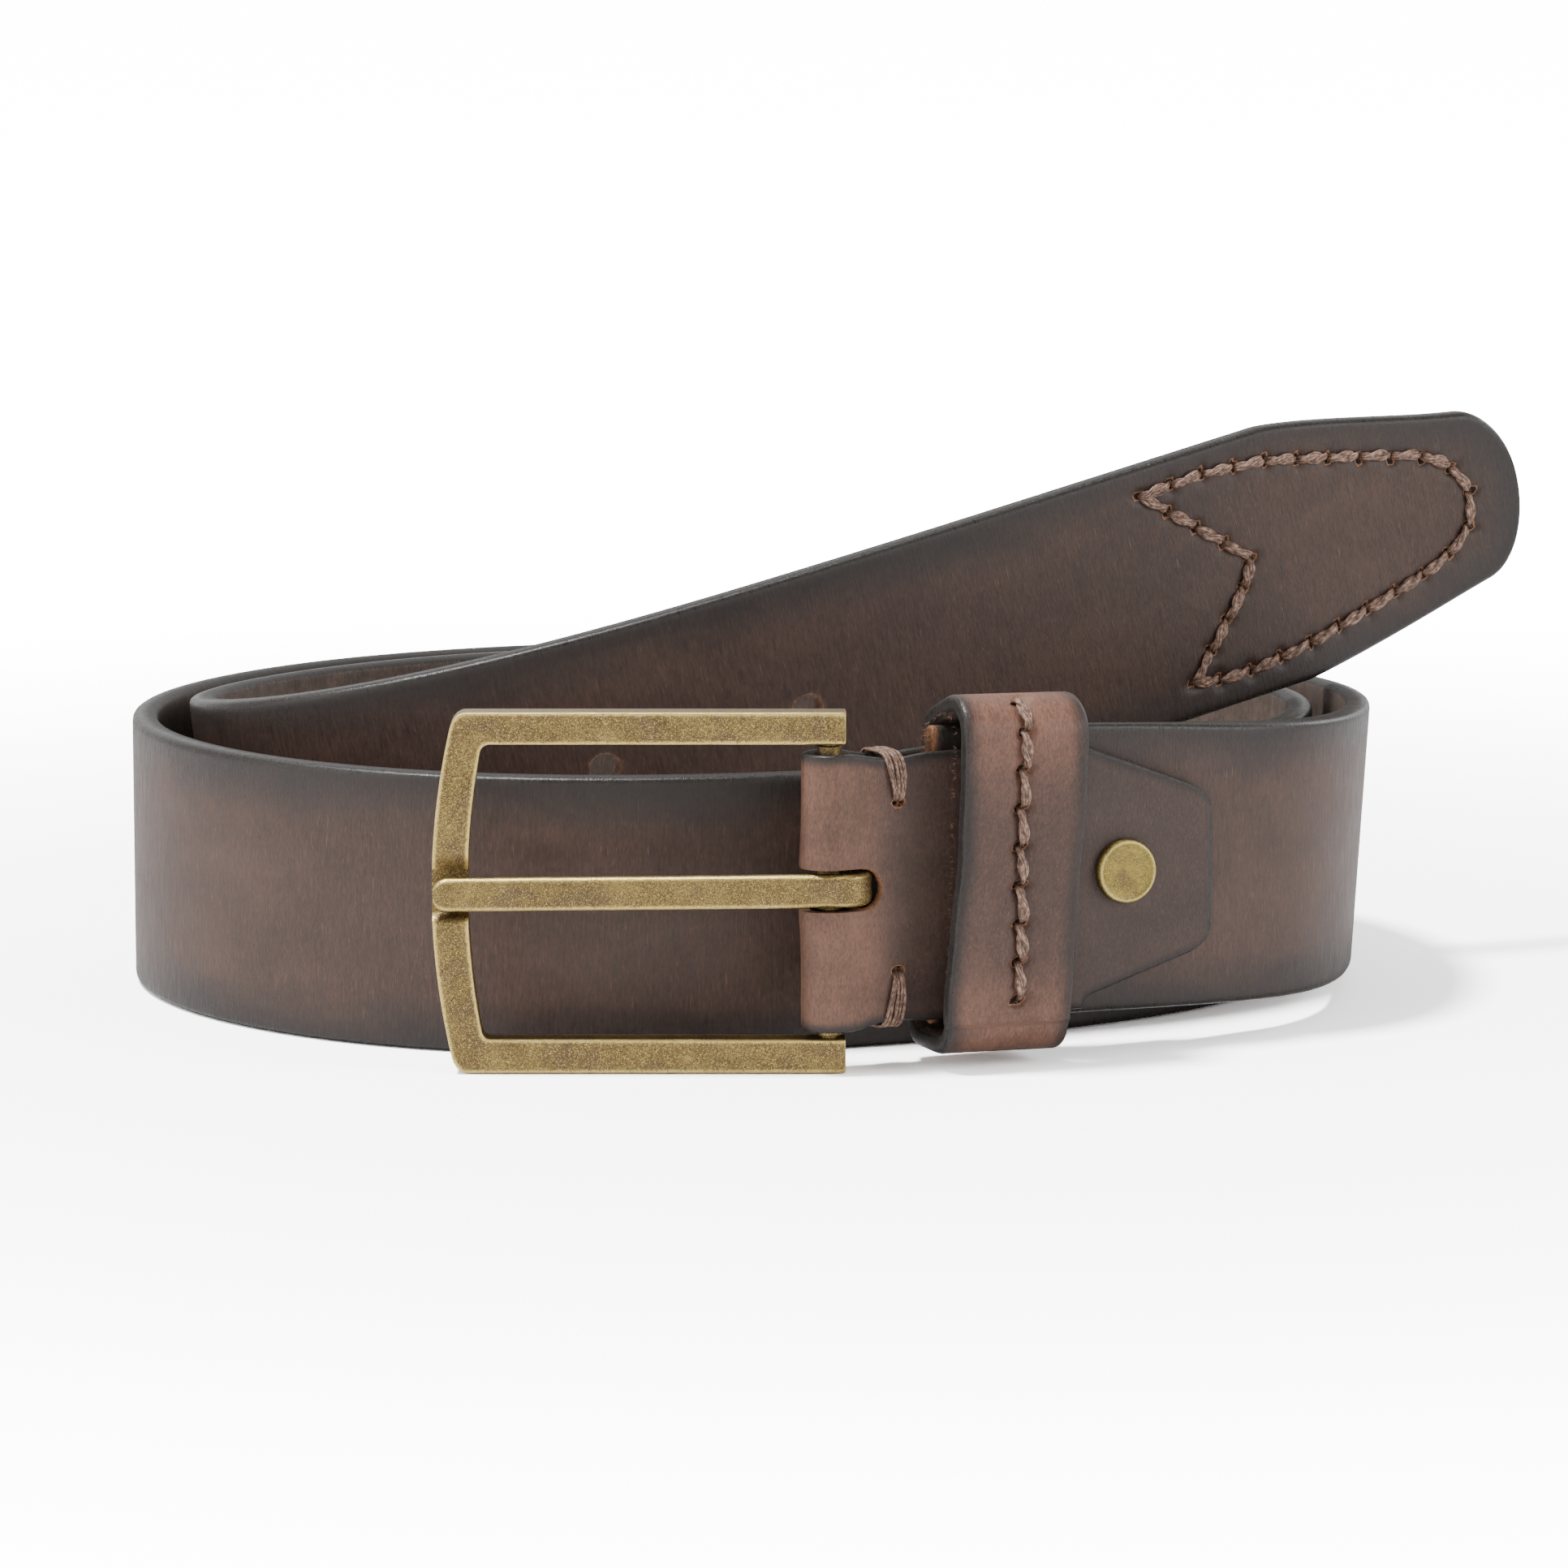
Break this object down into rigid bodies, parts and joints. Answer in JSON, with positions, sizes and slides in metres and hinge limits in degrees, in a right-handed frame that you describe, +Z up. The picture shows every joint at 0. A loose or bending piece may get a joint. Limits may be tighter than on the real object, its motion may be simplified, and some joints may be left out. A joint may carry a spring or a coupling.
{
  "type": "leather belt",
  "caption": "Coiled leather belt standing on edge, with a swinging prong buckle, folded riveted chape, sliding keeper and a stitched, punched end.",
  "frame": {"origin": "on the floor, under the middle of the coiled belt's bounding box", "axes": "+Z up, the buckle faces -Y, the punched end points towards +X"},
  "size_m": [0.1992, 0.1528, 0.0793],
  "materials": {
    "strap_leather": "satin, burnished dark edges",
    "chape_leather": "satin, fine grain",
    "keeper_leather": "satin, fine grain",
    "waxed_thread": "waxed",
    "aged_brass": "aged satin",
    "rivet_brass": "satin"
  },
  "bodies": {
    "strap": {"strap": "strap_leather", "chape": "chape_leather", "rivet_cap": "rivet_brass", "rivet_post": "rivet_brass", "tack_stitch_upper": "waxed_thread", "tack_stitch_lower": "waxed_thread", "tip_stitch_01": "waxed_thread", "tip_stitch_02": "waxed_thread", "tip_stitch_03": "waxed_thread", "tip_stitch_04": "waxed_thread", "tip_stitch_05": "waxed_thread", "tip_stitch_06": "waxed_thread", "tip_stitch_07": "waxed_thread", "tip_stitch_08": "waxed_thread", "tip_stitch_09": "waxed_thread", "tip_stitch_10": "waxed_thread", "tip_stitch_11": "waxed_thread", "tip_stitch_12": "waxed_thread", "tip_stitch_13": "waxed_thread", "tip_stitch_14": "waxed_thread", "tip_stitch_15": "waxed_thread", "tip_stitch_16": "waxed_thread", "tip_stitch_17": "waxed_thread", "tip_stitch_18": "waxed_thread", "tip_stitch_19": "waxed_thread", "tip_stitch_20": "waxed_thread", "tip_stitch_21": "waxed_thread", "tip_stitch_22": "waxed_thread", "tip_stitch_23": "waxed_thread", "tip_stitch_24": "waxed_thread", "tip_stitch_25": "waxed_thread", "tip_stitch_26": "waxed_thread", "tip_stitch_27": "waxed_thread", "tip_stitch_28": "waxed_thread", "tip_stitch_29": "waxed_thread", "tip_stitch_30": "waxed_thread"},
    "buckle": {"buckle_frame": "aged_brass", "heel_bar": "aged_brass"},
    "prong": {"prong": "aged_brass"},
    "keeper": {"keeper": "keeper_leather", "keeper_stitch_1": "waxed_thread", "keeper_stitch_2": "waxed_thread", "keeper_stitch_3": "waxed_thread", "keeper_stitch_4": "waxed_thread", "keeper_stitch_5": "waxed_thread", "keeper_stitch_6": "waxed_thread", "keeper_stitch_7": "waxed_thread", "keeper_stitch_8": "waxed_thread"}
  },
  "joints": [
    {"name": "buckle_swing", "type": "hinge", "parent": "strap", "child": "buckle", "pos_m": [-0.00092, -0.07234, 0.0242], "axis": [0, 0, 1], "range_deg": [-8, 40]},
    {"name": "prong_swing", "type": "hinge", "parent": "buckle", "child": "prong", "pos_m": [-0.00092, -0.07234, 0.0242], "axis": [0, 0, 1], "range_deg": [0, 85]},
    {"name": "keeper_slide", "type": "slide", "parent": "strap", "child": "keeper", "axis": [0.9114, 0.4115, 0], "range_m": [-0.0032, 0.005]}
  ]
}
